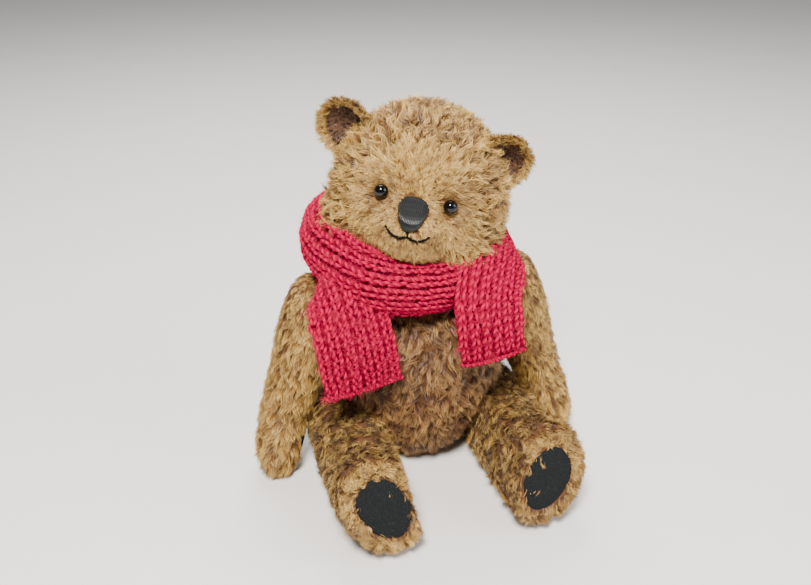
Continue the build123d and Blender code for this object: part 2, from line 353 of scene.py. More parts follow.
def thread(name, dark, light, roughness, coat):
    """Embroidery thread, waxed or dry, with painted shade in the grooves between its plies and painted highlight
    on their crowns.
    """
    kit = Kit(name)
    around, along = kit.along_fibre()
    twist = ((around + along * 9.0) * TAU).math("SINE") * 0.5 + 0.5
    return kit.finish(Base_Color=kit.mix(twist, dark, light), Roughness=roughness, Coat_Weight=coat,
                      Specular_IOR_Level=coat, Coat_Roughness=0.35, Normal=kit.bump(twist, 0.3, 0.0001))


def glass_bead(name):
    """Black glass, with a trace of brown in its depth."""
    kit = Kit(name)
    cloud = kit.noise(500.0)
    return kit.finish(Base_Color=kit.mix(cloud, "010101", "060302"), Roughness=0.08,
                      Specular_IOR_Level=0.4)


def plain(name, color, other, scale, roughness, metallic=0.0):
    """A finish for the pieces inside: two tones in a fine grain."""
    kit = Kit(name)
    grain = kit.noise(scale, 4.0)
    return kit.finish(Base_Color=kit.mix(grain, color, other), Roughness=roughness, Metallic=metallic,
                      Normal=kit.bump(grain, 0.3, 0.0002))


golden = pile("golden_mohair", ("2c1608", "4c2c10", "6e461a"), ("5c3a14", "a0732c", "efcb76"))
# A darker, browner copy of the golden mohair for the body: painted shade of the body under the scarf and arms.
shaded_body_mohair = pile("body_mohair_painted_shade", ("2a1508", "482a14", "653f1e"), ("523017", "8f6231", "d6a864"))
face_pile = pile("face_mohair", ("30190a", "5c3914", "805422"), ("664212", "b08436", "f2d282"))
lining_pile = pile("ear_lining_mohair", ("150b06", "3a2113", "55331e"), ("2a170d", "63402a", "8a6242"))
cloth_golden = backing("backing_golden", "4a2b12", "643f1c")
cloth_dark = backing("backing_dark", "1c0f08", "2c1a0f")
pad_suede = suede("charcoal_suede")
wool = yarn("crimson_wool")
wool_painted_shade = wool_back("crimson_wool_back_painted_shade")
wool_fuzz = pile("crimson_fuzz", ("700024", "a00034", "b80440"), ("8c002e", "c60440", "e21858"),
                 roughness=0.95, sheen=0.0)
nose_thread = thread("nose_thread", "020303", "0b0e10", 0.40, 0.30)
mouth_thread = thread("mouth_thread", "040303", "120d0b", 0.9, 0.05)
eye_glass = glass_bead("black_glass")
inside = {
    "stuffing": plain("fibre_fill", "e8e4da", "c9c3b4", 700.0, 0.95),
    "card": plain("card", "c8b486", "a8946a", 900.0, 0.85),
    "hardboard": plain("hardboard", "6b4a2c", "4a321c", 1300.0, 0.75),
    "washer_steel": plain("zinc_steel", "a8a8ac", "8a8a90", 1800.0, 0.35, 1.0),
    "pin_steel": plain("steel_wire", "9a9aa0", "7c7c84", 1800.0, 0.3, 1.0),
    "eye_glass": eye_glass,
    "mohair": cloth_golden,
    "ear_lining_pile": cloth_dark,
    "suede": pad_suede,
    "knit_wool": wool_painted_shade,
    "nose_thread": nose_thread,
    "mouth_thread": mouth_thread,
}
for entry in frame["record"]["subparts"]:
    node = frame["nodes"][entry["node"]]
    node.data.materials.clear()
    node.data.materials.append(inside[entry["material_slot"]])


def dress(piece, material, body):
    """Gives a piece its finish and its body."""
    piece.data.materials.append(material)
    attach(piece, body)
    return piece


# ======================================================================================
# Joint frames
# ======================================================================================
joint = {j["name"]: j for j in frame["joints"]}
neck_at = np.array(joint["neck_turn"]["pos_m"]) / MM
neck_axis = np.array(joint["neck_turn"]["axis"])
HEAD_TURN = -22.0
facing = math.radians(HEAD_TURN)
head_place = Place(neck_at, (math.cos(facing), math.sin(facing), 0), neck_axis)


def limb_place(side, kind):
    """Local x along the arm or to the leg's back, z out of the body, mirrored for the right."""
    j = joint[side + ("_shoulder_swing" if kind == "arm" else "_hip_swing")]
    at = np.array(j["pos_m"]) / MM
    sign = 1 if side == "left" else -1
    outward = unit(np.array(j["axis"]) * (-sign))
    place = Place(at, (0, 1, 0), outward)
    if kind == "arm":
        place.axes = np.stack([np.cross([0, 1.0 * sign, 0], outward), [0, 1, 0], outward], axis=1)
    else:
        up = np.cross(outward, [0, 1.0, 0]) * sign
        place.axes = np.stack([[0, 1, 0], up, outward], axis=1)
    return place


# ======================================================================================
# Surfaces of the stuffed parts
# ======================================================================================
PAD_HIGH, PAD_WIDE = 8.8, 6.5            # half sizes of a foot pad
PALM_DOWN, PALM_AHEAD = 39.5, 3.6        # middle of a paw pad on its arm
PALM_LONG, PALM_WIDE = 6.6, 4.4          # its half sizes
BARE_PALM = (6.2, 4.2)                   # half sizes of the patch without pile under it
BODY_OUTLINE = [(7.0, 0.0), (13.5, 4.0), (19.0, 12.0), (22.8, 23.0), (24.0, 34.0), (23.6, 43.0),
                (20.8, 50.0), (15.5, 56.0), (10.0, 60.0)]
ARM_STATIONS = [(-8.8, 0.0, 0.0, 4.0, 3.8), (-6.6, 0.0, 0.0, 7.0, 7.0), (-2.0, 0.0, 0.0, 8.5, 8.2),
                (7.0, 0.3, 0.0, 8.6, 8.4), (18.0, 0.3, 0.6, 7.9, 7.3), (29.0, 0.8, 1.2, 6.9, 6.4),
                (37.0, 2.4, 1.3, 6.9, 6.2), (43.0, 4.4, 1.2, 6.4, 5.7), (46.6, 6.0, 1.0, 4.6, 4.1),
                (48.2, 6.9, 0.9, 2.6, 2.4)]
ARM_MID = 6.9
LEG_STATIONS = [(-10.2, 0.0, 3.4, 3.4, 0), (-8.4, 0.0, 6.8, 7.0, 0), (-4.0, 0.0, 9.3, 9.4, 0),
                (3.0, 0.0, 10.3, 9.9, 0), (14.0, -0.1, 10.5, 10.2, 4), (25.0, 0.2, 10.5, 10.3, 12),
                (33.0, 1.0, 10.9, 10.3, 17), (38.0, 2.0, 11.9, 10.2, 18), (42.0, 2.6, 12.2, 10.1, 18),
                (44.4, 2.7, 11.3, 9.2, 18)]
LEG_MID = 7.4
SKULL = ((0, 0, 21.8), (22.0, 20.0, 24.5))
MUZZLE = ((0, -12.5, 20.0), (11.2, 14.0, 8.6))
CHEEKS = [((side * 11.5, -4, 15.5), (10.2, 12, 9.5)) for side in (1, -1)]
EYE_R = 1.75


def body_surface(u, v):
    """The egg of the body: radius and height run along the outline, v goes round."""
    r, z = np.array(BODY_OUTLINE).T
    keys = np.concatenate([[0], np.cumsum(np.hypot(np.diff(r), np.diff(z)))])
    keys = 0.06 + 0.94 * keys / keys[-1]
    radius = smooth_between(np.concatenate([[0], keys]), np.concatenate([[0.1], r]), u)
    height = smooth_between(np.concatenate([[0], keys]), np.concatenate([[0.3], z]), u)
    a = v * TAU
    return np.stack([radius * np.sin(a), -radius * np.cos(a), height], -1) * [1.03, 1.02, 1.0]


def head_inside(p):
    """Over 1 inside the head: the soft sum of skull, muzzle and cheeks."""
    total = 0
    for centre, half in [SKULL, MUZZLE] + CHEEKS:
        near = np.linalg.norm((p - np.array(centre)) / np.array(half), axis=-1) - 1
        total = total + np.exp(-1.1 * near * min(half))
    return total


def head_radius(direction):
    """Distance from the head's middle to its surface, by halving."""
    low = np.full(direction.shape[:-1], 2.0)
    high = np.full(direction.shape[:-1], 40.0)
    middle = np.array(SKULL[0])
    for _ in range(22):
        mid = (low + high) / 2
        inside_it = head_inside(middle + direction * mid[..., None]) > 1
        low, high = np.where(inside_it, mid, low), np.where(inside_it, high, mid)
    return low


def head_surface(u, v):
    """The head as seen from its middle: u from the crown down, v round from the face."""
    polar, a = u * math.pi, v * TAU
    direction = np.stack([np.sin(polar) * np.sin(a), -np.sin(polar) * np.cos(a), np.cos(polar)], -1)
    p = np.array(SKULL[0]) + direction * head_radius(direction)[..., None]
    for side in (-1, 1):
        gap = np.linalg.norm(p - eye_centre(side), axis=-1)
        p = p - direction * (1.1 * np.exp(-(gap / 3.0) ** 2))[..., None]
    p[..., 2] = np.maximum(p[..., 2], 0.4)
    return p


def eye_centre(side):
    low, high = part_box(("left" if side > 0 else "right") + "_eye")
    world = (np.array(low) + np.array(high)) / 2 / MM
    return (world - head_place.origin) @ head_place.axes


def arm_surface(u, v):
    """Arm: an oval carried down its stations; v goes round from its outer side."""
    table = np.array(ARM_STATIONS)
    keys = np.linspace(0.05, 0.97, len(table))
    down, forward, outward, half_w, half_t = [smooth_between(keys, table[:, i], u) for i in range(5)]
    close = np.sqrt(np.clip(u / 0.05, 0, 1)) * np.sqrt(np.clip((1 - u) / 0.03, 0, 1))
    a = v * TAU
    x = down - np.where(u < 0.05, 0.6 * (1 - u / 0.05), 0)
    y = -forward + half_w * close * np.sin(a)
    z = ARM_MID + outward + half_t * close * np.cos(a)
    return np.stack([x, y, np.maximum(z, 0.2)], -1)


def smoothstep(low, high, x):
    t = np.clip((x - low) / (high - low), 0, 1)
    return t * t * (3 - 2 * t)


SOLE = 44.4                              # from the hip to the sole
SOLE_UP = 2.7                            # the sole's middle over the hip
SOLE_ROLL = math.radians(18)             # how far the foot is rolled outward
FOOT_UP, FOOT_IN, SOLE_LEAN, SOLE_HINGE = 1.2, 0.7, 0.25, 8.5


def turn_up(p):
    """Leans the sole back and sets the foot a little up and in, as its stuffing has settled."""
    foot = smoothstep(-16.0, -SOLE, p[..., 0])
    return p + np.stack([SOLE_LEAN * (p[..., 1] - SOLE_HINGE) * foot, FOOT_UP * foot, -FOOT_IN * foot], -1)


def leg_surface(u, v):
    """Leg: an oval carried forward from the hip, the foot rolled outward."""
    table = np.array(LEG_STATIONS)
    keys = np.linspace(0.05, 0.95, len(table))
    forward, up, half_up, half_w, roll = [smooth_between(keys, table[:, i], u) for i in range(5)]
    close = np.sqrt(np.clip(u / 0.05, 0, 1)) * np.sqrt(np.clip((1 - u) / 0.05, 0, 1))
    a, tilt = v * TAU, np.radians(roll)
    p = half_up * close * np.cos(a)
    q = half_w * close * np.sin(a)
    x = -forward - np.where(u > 0.95, 0.5 * (u - 0.95) / 0.05, 0)
    y = up + p * np.cos(tilt) - q * np.sin(tilt)
    z = LEG_MID + p * np.sin(tilt) + q * np.cos(tilt)
    shape = turn_up(np.stack([x, y, z], -1))
    shape[..., 2] = np.maximum(shape[..., 2], 0.2)
    return shape


def skin(name, surface, place, body, node, material, rows=60, columns=64):
    """The backing cloth of a stuffed part, a closed form that the pile grows on."""
    u = np.linspace(0.004, 0.996, rows)[:, None] * np.ones(columns)
    v = (np.arange(columns) / columns)[None, :] * np.ones((rows, 1))
    points = place.out(surface(u, v)) if place else surface(u, v)
    points[..., 2] = np.maximum(points[..., 2], 0.3)
    piece = dress(closed_grid(name, points), material, body)
    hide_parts(node)
    return piece


# ======================================================================================
# Pile
# ======================================================================================
class Sprout:
    """Roots spread evenly over a surface, with its outward normals."""

    def __init__(self, surface, place, sign=0):
        self.surface = surface
        self.place = place
        g = (np.arange(40) + 0.5) / 40
        self.sign = sign or (1 if faces_out(self.world(*np.meshgrid(g, g, indexing="ij"))) else -1)

    def world(self, u, v):
        p = self.surface(u, v)
        return self.place.out(p) if self.place else p

    def slopes(self, u, v, step=2e-3):
        """Steps of the surface along u and v, by small differences."""
        ua, ub = np.clip(u - step, 0.001, 0.999), np.clip(u + step, 0.001, 0.999)
        along_u = (self.world(ub, v) - self.world(ua, v)) / (ub - ua)[..., None]
        along_v = (self.world(u, v + step) - self.world(u, v - step)) / (2 * step)
        return along_u, along_v

    def scatter(self, count, rng, weight=None, fine=220):
        """Picks places with equal chance for equal area, times the weight."""
        g = (np.arange(fine) + 0.5) / fine
        u, v = np.meshgrid(g, g, indexing="ij")
        du, dv = self.slopes(u, v)
        area = np.linalg.norm(np.cross(du, dv), axis=-1)
        if weight is not None:
            area = area * weight(self.surface(u, v), self.world(u, v))
        chance = (area / area.sum()).ravel()
        cell = rng.choice(fine * fine, size=count, p=chance)
        u = (cell // fine + rng.random(count)) / fine
        v = (cell % fine + rng.random(count)) / fine
        return np.clip(u, 0.002, 0.998), v

    def normal(self, u, v):
        du, dv = self.slopes(u, v)
        return unit(np.cross(dv, du)) * self.sign


CURL_TURNS = 0.8         # turns of a fibre about its tuft's axis
LOWEST_FIBRE = 0.15      # no fibre goes below this height over the floor


def grow(name, sprout, flow, tufts, per_tuft, length, width, rng, material, body,
         lift=0.75, tuft_r=0.7, gather=0.7, curl=0.35, steps=4, weight=None, tone=None, mess=0.5,
         length_at=None):
    """Tufts of fibres. Each fibre leans from the normal towards the flow and curls.

    A fibre's path is root + L (a n + b f) + curl round its tuft's axis; the roots of a tuft
    close in on its middle towards the tip. Each fibre is a flat ribbon that narrows to a point."""
    u0, v0 = sprout.scatter(tufts, rng, weight)
    base0 = sprout.world(u0, v0)
    n0 = sprout.normal(u0, v0)
    f0 = flow(sprout.surface(u0, v0), base0)
    f0 = unit(f0 - n0 * dot(f0, n0))
    side0 = np.cross(n0, f0)
    swing = rng.normal(0, mess, tufts)[:, None]
    f0 = unit(f0 * np.cos(swing) + side0 * np.sin(swing))
    side0 = np.cross(n0, f0)
    du, dv = sprout.slopes(u0, v0)
    k = per_tuft
    r = tuft_r * np.sqrt(rng.random((tufts, k)))
    a = rng.random((tufts, k)) * TAU
    offset = r[..., None] * (np.cos(a)[..., None] * f0[:, None] + np.sin(a)[..., None] * side0[:, None])
    uu, vv, uv = dot(du, du), dot(dv, dv), dot(du, dv)
    det = np.maximum(uu * vv - uv * uv, 1e-6)
    a_u, a_v = dot(offset, du[:, None]), dot(offset, dv[:, None])
    step_u = np.clip(((vv[:, None] * a_u - uv[:, None] * a_v) / det[:, None])[..., 0], -0.08, 0.08)
    step_v = np.clip(((uu[:, None] * a_v - uv[:, None] * a_u) / det[:, None])[..., 0], -0.25, 0.25)
    u = np.clip(u0[:, None] + step_u, 0.002, 0.998).ravel()
    v = (v0[:, None] + step_v).ravel()
    root = sprout.world(u, v)
    n = sprout.normal(u, v)
    owner = np.repeat(np.arange(tufts), k)
    f = f0[owner]
    f = unit(f - n * dot(f, n))
    side = np.cross(n, f)
    count = len(root)
    long = np.full(count, length) if length_at is None else length * length_at(sprout.surface(u, v), root)
    long = long * (0.75 + 0.5 * rng.random(tufts))[owner] * (0.8 + 0.4 * rng.random(count))
    phase = (rng.random(tufts) * TAU)[owner] + rng.normal(0, 0.5, count)
    hand = np.where(rng.random(tufts) < 0.5, -1, 1)[owner]
    spin = hand * CURL_TURNS * TAU * (0.7 + 0.6 * rng.random(tufts)[owner])
    up = lift * (0.7 + 0.6 * rng.random(tufts))[owner] + rng.normal(0, 0.1, count)
    t = np.linspace(0, 1, steps + 1)[None, :, None]
    up, spin, phase, long = (x[:, None, None] for x in (up, spin, phase, long))
    rise = t * up * (1 - 0.35 * t)
    run = np.sqrt(np.maximum(1 - up ** 2 * 0.55, 0.15)) * (0.55 * t + 0.45 * t * t)
    path = n[:, None] * rise + f[:, None] * run
    swirl = curl * t * (np.cos(spin * t + phase) * side[:, None]
                        + 0.7 * np.sin(spin * t + phase) * n[:, None])
    centre = base0[owner][:, None]
    pull = gather * t ** 0.8
    points = root[:, None] + long * (path + swirl) + (centre - root[:, None]) * pull
    points[..., 2] = np.maximum(points[..., 2], LOWEST_FIBRE + 0.1 * rng.random(count)[:, None])
    direction = unit(np.gradient(points, axis=1))
    across = unit(np.cross(direction, n[:, None]))
    roll = rng.normal(0, 0.5, count)[:, None, None]
    across = across * np.cos(roll) + np.cross(direction, across) * np.sin(roll)
    taper = width * (1 - 0.7 * t ** 1.5) * (0.7 + 0.6 * rng.random(count))[:, None, None] / 2
    left, right = points - across * taper, points + across * taper
    verts = np.stack([left[:, :-1], right[:, :-1]], axis=2).reshape(count, -1, 3)
    verts = np.concatenate([verts, points[:, -1:]], axis=1)
    per = 2 * steps + 1
    quads = np.array([[2 * i, 2 * i + 1, 2 * i + 3, 2 * i + 2] for i in range(steps - 1)])
    tip = np.array([[2 * steps - 2, 2 * steps - 1, 2 * steps]])
    shift = (np.arange(count) * per)[:, None, None]
    faces = [(quads[None] + shift).reshape(-1, 4), (tip[None] + shift).reshape(-1, 3)]
    shade = np.clip(0.5 + rng.normal(0, 0.24, tufts)[owner] + rng.normal(0, 0.18, count), 0.02, 0.98)
    if tone is not None:
        shade = np.clip(shade + tone(sprout.surface(u, v), root), 0.02, 0.98)
    rows = np.linspace(0, 1, steps + 1)
    v_map = np.concatenate([np.repeat(rows[:-1], 2), rows[-1:]])
    nudge = np.concatenate([np.tile([-0.004, 0.004], steps), [0.0]])
    uv_map = np.stack([np.clip(shade[:, None] + nudge, 0, 1), np.broadcast_to(v_map, (count, per))], -1)
    return dress(make_mesh(name, verts, faces, uv_map), material, body)


# ======================================================================================
# Body, arms and legs
# ======================================================================================
rng = np.random.default_rng(SEED)


def patches(p, size, seed):
    """Slow random waves over space, about -1 to 1, for blotches of tone."""
    waves = np.random.default_rng(seed)
    total = 0
    for _ in range(7):
        k = unit(waves.normal(size=3)) * TAU / size * waves.uniform(0.6, 1.6)
        total = total + np.sin(p @ k + waves.uniform(0, TAU))
    return total / 4


skin("body_cloth", body_surface, None, "torso", "body_skin", cloth_golden)


def down_body(local, world):
    outward = world * [1, 1, 0]
    return unit(outward) * 0.35 + np.array([0, 0, -1.0])


def body_weight(local, world):
    return (world[..., 2] < 58) & (world[..., 2] > 0.5)


# The body's tone is also lowered by 0.1: more painted shade on the body.
for i in range(2):
    grow(f"body_pile_{i + 1}", Sprout(body_surface, None), down_body, 1680, 14, 3.3, 0.20, rng, shaded_body_mohair,
         "torso", lift=0.6, tuft_r=0.95, curl=0.2, mess=0.5, gather=0.45, steps=3,
         weight=body_weight, tone=lambda local, world: 0.22 * patches(world, 9.0, 3) - 0.1)


def off_palm(local, world):
    """No pile on the suede of the palm."""
    along, across = (local[..., 0] - PALM_DOWN) / BARE_PALM[0], (local[..., 1] + PALM_AHEAD) / BARE_PALM[1]
    return 1.0 - (np.hypot(along, across) < 1) * (local[..., 2] < 7)


def arm_length(local, world):
    """Short pile on the shoulder, which lies against the body."""
    return 0.45 + 0.6 * smoothstep(-8.0, 9.0, local[..., 0])


def make_arm(side):
    place = limb_place(side, "arm")
    skin(side + "_arm_cloth", arm_surface, place, side + "_arm", side + "_arm_skin", cloth_golden)
    arm_down = place.axes[:, 0]
    grow(side + "_arm_pile", Sprout(arm_surface, place),
         lambda local, world: np.broadcast_to(arm_down, world.shape), 1950, 14, 2.7, 0.19, rng, golden,
         side + "_arm", lift=0.45, tuft_r=0.9, curl=0.12, mess=0.35, gather=0.5, steps=3,
         length_at=arm_length, weight=off_palm,
         tone=lambda local, world: 0.25 * patches(world, 8.0, 5) + 0.12)


def from_pad(local):
    """Distance from the pad's middle, 1 at its rim, over 2 away from the sole."""
    y, z = local[..., 1] - SOLE_UP - FOOT_UP, local[..., 2] - LEG_MID + FOOT_IN
    p = y * math.cos(SOLE_ROLL) + z * math.sin(SOLE_ROLL)
    q = z * math.cos(SOLE_ROLL) - y * math.sin(SOLE_ROLL)
    ahead = local[..., 0] + SOLE - SOLE_LEAN * (local[..., 1] - SOLE_HINGE - FOOT_UP)
    return np.hypot(p / PAD_HIGH, q / PAD_WIDE) + 2 * (ahead > 1.5)


def sole_weight(local, world):
    """Thick pile round the rim of the pad, none on it."""
    near = from_pad(local)
    return np.where(near < 1.6, 3.0, 1.0) * (near > 1.0) * (world[..., 2] > 0.6)


def leg_length(local, world):
    at_pad = smoothstep(1.5, 1.05, from_pad(local))
    return 1.0 - 0.25 * smoothstep(-38.0, -43.0, local[..., 0]) - 0.12 * at_pad


def make_leg(side):
    place = limb_place(side, "leg")
    skin(side + "_leg_cloth", leg_surface, place, side + "_leg", side + "_leg_skin", cloth_golden)
    leg_ahead = -place.axes[:, 0]

    def leg_flow(local, world):
        """Ahead along the leg, and away from the pad round its rim."""
        ahead = np.broadcast_to(leg_ahead, world.shape)
        rim = smoothstep(2.2, 1.2, from_pad(local))[..., None] * 0.6
        away = (local - [0, SOLE_UP + FOOT_UP, LEG_MID - FOOT_IN]) * [0, 1, 1]
        spread = unit(away) @ place.axes.T
        return ahead * (1 - rim) + 0.5 * spread * rim + np.array([0, 0, -0.1])

    grow(side + "_leg_pile", Sprout(leg_surface, place), leg_flow, 2000, 14, 2.8, 0.19, rng,
         golden, side + "_leg", lift=0.62, tuft_r=0.95, curl=0.22, mess=0.7, gather=0.35, steps=3,
         weight=sole_weight, length_at=leg_length,
         tone=lambda local, world: 0.25 * patches(world, 8.0, 8))


for side in ("left", "right"):
    make_arm(side)
    make_leg(side)


# ======================================================================================
# Pads: suede ovals set into the soles and palms
# ======================================================================================
def pad(name, place, outline, body, node):
    """A thin crowned oval: outline(r, a, lift) gives its points, its middle a little proud."""
    rows, under_rows, columns = 14, 5, 48
    r = np.concatenate([np.linspace(0.03, 1, rows), np.linspace(0.97, 0.05, under_rows)])[:, None]
    a = (np.arange(columns) / columns * TAU)[None, :]
    under = np.concatenate([np.zeros(rows), np.ones(under_rows)])[:, None]
    lift = np.where(under > 0, -0.5, 0.55 * (1 - r ** 4) - 0.25 * (r > 0.93))
    piece = closed_grid(name, place.out(outline(r, a, lift)))
    dress(piece, pad_suede, body)
    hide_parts(node)


def sole_points(r, a, lift):
    """An egg-shaped oval, rolled and leant with the sole."""
    p = PAD_HIGH * r * np.cos(a) + 0 * lift
    q = PAD_WIDE * r * np.sin(a) * (1 + 0.07 * np.cos(a)) + 0 * lift
    y = SOLE_UP + p * math.cos(SOLE_ROLL) - q * math.sin(SOLE_ROLL)
    z = LEG_MID + p * math.sin(SOLE_ROLL) + q * math.cos(SOLE_ROLL)
    return turn_up(np.stack([0 * y - SOLE - 0.3 - lift, y, z], -1))


def palm_points(r, a, lift):
    """An oval on the inner side of the hand, bent over the arm's own oval section."""
    x = PALM_DOWN + PALM_LONG * r * np.cos(a) + 0 * lift
    y = -PALM_AHEAD + PALM_WIDE * r * np.sin(a) + 0 * lift
    table = np.array(ARM_STATIONS)
    half_w, half_t, out_by, ahead = [np.interp(x, table[:, 0], table[:, k]) for k in (3, 4, 2, 1)]
    bulge = np.sqrt(np.clip(1 - ((y + ahead) / half_w) ** 2, 0, 1))
    z = ARM_MID + out_by - half_t * bulge - 0.15 - lift
    return np.stack([x, y, z], -1)


for side in ("left", "right"):
    pad(side + "_sole", limb_place(side, "leg"), sole_points, side + "_leg", side + "_foot_pad")
    pad(side + "_palm", limb_place(side, "arm"), palm_points, side + "_arm", side + "_paw_pad")


# ======================================================================================
# Head: cloth, pile, ears, eyes, nose and mouth
# ======================================================================================
def face_point(x, z, lift=0.0):
    """The front of the head at a place on the face, raised by lift."""
    x, z = np.broadcast_arrays(np.asarray(x, float), np.asarray(z, float))
    low, high = np.zeros(x.shape), np.full(x.shape, 45.0)
    for _ in range(24):
        mid = (low + high) / 2
        within = head_inside(np.stack([x, -mid, z], -1)) > 1
        low, high = np.where(within, mid, low), np.where(within, high, mid)
    return np.stack([x, -low - lift, z], -1)


NOSE_UP = 25.8
NOSE_W, NOSE_H = 3.4, 3.2
NOSE_STITCHES = 17
NOSE_THREAD_R, MOUTH_THREAD_R = 0.36, 0.30
MOUTH_REACH = (-5.6, 5.2)
nose_tip = face_point(0.0, NOSE_UP)
face_middle = np.array([0.0, -19.0, 24.5])


def head_flow(local, world):
    away = unit(local - face_middle) + np.array([0, 0.1, -0.25]) * (local[..., 2:3] < 34)
    return away @ head_place.axes.T


def from_nose(local):
    return np.linalg.norm(local - nose_tip, axis=-1)


def clear_of_face(local):
    """0 under the nose and the eyes, little on the line of the mouth, 1 elsewhere."""
    front = local[..., 1] < -18
    x, z = local[..., 0], local[..., 2] - NOSE_UP
    open_it = np.where((np.hypot(x / NOSE_W, z / NOSE_H) < 0.93) & front, 0.0, 1.0)
    for sign in (-1, 1):
        open_it = open_it * (np.linalg.norm(local - eye_centre(sign), axis=-1) > 1.55)
    mouth = (np.abs(x) < 6.0) & (np.abs(z - mouth_line(x)) < 0.6)
    return open_it * np.where(mouth & front, 0.25, 1.0)


def mouth_line(x):
    """Height of the mouth under the nose's middle: it dips either side of the stem, then turns up."""
    s = np.abs(x) / 5.6
    return -NOSE_H - 1.4 - 1.3 * np.sin(math.pi * np.clip(s, 0, 1) * 0.62) + 2.0 * s ** 2.2


def head_weight(local, world):
    return smoothstep(9.0, 17.0, from_nose(local)) * (local[..., 2] > 2.0) * clear_of_face(local)


def face_weight(local, world):
    return smoothstep(18.0, 11.0, from_nose(local)) * (local[..., 1] < -8) * clear_of_face(local)


def face_length(local, world):
    return 0.42 + 0.75 * smoothstep(6.0, 17.0, from_nose(local))


def head_length(local, world):
    near = smoothstep(10.0, 22.0, from_nose(local))
    crown = smoothstep(33.0, 42.0, local[..., 2])
    return 0.5 + 0.55 * near - 0.2 * crown


def face_tone(local, world):
    """Pale muzzle; painted shade round the sunken eyes and along the bottom of the muzzle under the mouth."""
    shade = 0.2 * patches(world, 7.0, 11)
    # Painted shade in the hollows round the eyes.
    for sign in (-1, 1):
        shade = shade - 0.8 * np.exp(-(np.linalg.norm(local - eye_centre(sign), axis=-1) / 3.6) ** 2)
    # Painted shade along the bottom of the muzzle, under the mouth.
    painted_shade_under_mouth = np.exp(-((local[..., 2] - NOSE_UP + 5.6) / 1.6) ** 2) * (np.abs(local[..., 0]) < 8)
    return shade - 0.4 * painted_shade_under_mouth * (local[..., 1] < -16) + 0.1


skin("head_cloth", head_surface, head_place, "head", "head_skin", cloth_golden, 90, 96)
head_sprout = Sprout(head_surface, head_place)
for i in range(2):
    grow(f"head_pile_{i + 1}", head_sprout, head_flow, 1940, 14, 3.8, 0.20, rng, golden, "head",
         lift=0.62, tuft_r=0.95, curl=0.22, mess=0.6, gather=0.6, steps=3, weight=head_weight,
         length_at=head_length, tone=lambda local, world: 0.42 * patches(world, 6.0, 9) + 0.06)
grow("face_pile", head_sprout, head_flow, 2300, 12, 2.7, 0.16, rng, face_pile, "head",
     lift=0.55, tuft_r=0.7, curl=0.12, mess=0.4, steps=3, weight=face_weight, length_at=face_length,
     tone=face_tone, gather=0.35)


EAR_R = 7.9
EAR_CUP = 2.6
EAR_FLAT = 0.94          # height of the ear over its width
EAR_AT = {"left": (18.2, 1.0, 36.5), "right": (-21.0, 1.0, 36.3)}


def ear_surface(u, v):
    """A cupped lens: front from the middle to the rim for u under a half, then back to the middle."""
    front = u < 0.5
    rho = np.where(front, u, 1 - u) * 2
    a = v * TAU
    y = -EAR_CUP * rho ** 2 + np.where(front, 0, 2.0 * np.sqrt(np.clip(1 - rho ** 2, 0, 1)))
    return np.stack([EAR_R * rho * np.cos(a), y + 0.3, EAR_FLAT * EAR_R * rho * np.sin(a)], -1)


def lining_surface(u, v):
    p = ear_surface(np.minimum(u, 0.999) * 0.43, v)
    return p + np.array([0, -0.25, 0])


def rim_weight(local, world):
    """Pile all over the back of the ear, and thick on the rim of its front."""
    rho = np.hypot(local[..., 0], local[..., 2] / EAR_FLAT) / EAR_R
    behind = local[..., 1] > 0.32 - EAR_CUP * rho ** 2
    return np.where(behind, 1.0, 2.5 * (rho > 0.8))


def make_ear(side, sign):
    """A cupped ear with its darker lining, and the pile of both."""
    place = Place((0, 0, 0), (1, 0, 0), (0, 0, 1))
    spin = rotation((0, 1, 0), sign * 32.0) @ rotation((0, 0, 1), sign * 28.0)
    place.axes = head_place.axes @ spin
    place.origin = head_place.out(np.array(EAR_AT[side]))
    ear_sign = Sprout(ear_surface, place).sign
    rows, columns, lining_rows, under_rows = 40, 48, 14, 5
    u = np.linspace(0.01, 0.99, rows)[:, None] * np.ones(columns)
    v = (np.arange(columns) / columns)[None, :] * np.ones((rows, 1))
    back = dress(closed_grid(side + "_ear_cloth", place.out(ear_surface(u, v))), cloth_golden,
                 "head")
    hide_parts(side + "_ear_back")
    rho = np.concatenate([np.linspace(0.03, 1, lining_rows), np.linspace(0.98, 0.05, under_rows)])
    lining_points = lining_surface(rho[:, None] * np.ones(columns), v[:lining_rows + under_rows])
    lining_points[lining_rows:, :, 1] += 0.35
    lining = dress(closed_grid(side + "_ear_lining_cloth", place.out(lining_points)), cloth_dark,
                   "head")
    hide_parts(side + "_ear_lining")

    def ear_out(local, world):
        away = local * [1, 0, 1]
        return (unit(away) + np.array([0, 0.3, 0])) @ place.axes.T

    grow(side + "_ear_pile", Sprout(ear_surface, place), ear_out, 620, 14, 2.1, 0.16, rng, golden,
         "head", lift=0.6, tuft_r=0.7, curl=0.2, mess=0.6, gather=0.4, steps=3,
         weight=rim_weight, tone=lambda local, world: 0.18 + 0 * local[..., 0])
    grow(side + "_ear_lining_pile", Sprout(lining_surface, place, ear_sign), ear_out, 420, 12, 1.0, 0.13,
         rng, lining_pile, "head", lift=0.5, tuft_r=0.6, curl=0.15, mess=1.0, steps=3,
         weight=lambda local, world: (np.hypot(local[..., 0], local[..., 2] / EAR_FLAT) < 0.76 * EAR_R) * 1.0)


def make_eye(side, sign):
    """A ball of glass at the middle of the CAD eye."""
    rows, columns = 24, 36
    polar = np.linspace(0.02, 0.98, rows)[:, None] * np.ones(columns) * math.pi
    turn = (np.arange(columns) / columns)[None, :] * TAU * np.ones((rows, 1))
    ball = np.stack([np.sin(polar) * np.cos(turn), np.sin(polar) * np.sin(turn),
                     np.cos(polar)], -1) * EYE_R + eye_centre(sign)
    eye = dress(closed_grid(side + "_eye_bead", head_place.out(ball)), eye_glass, "head")
    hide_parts(side + "_eye")


for side, sign in (("left", 1), ("right", -1)):
    make_ear(side, sign)
    make_eye(side, sign)


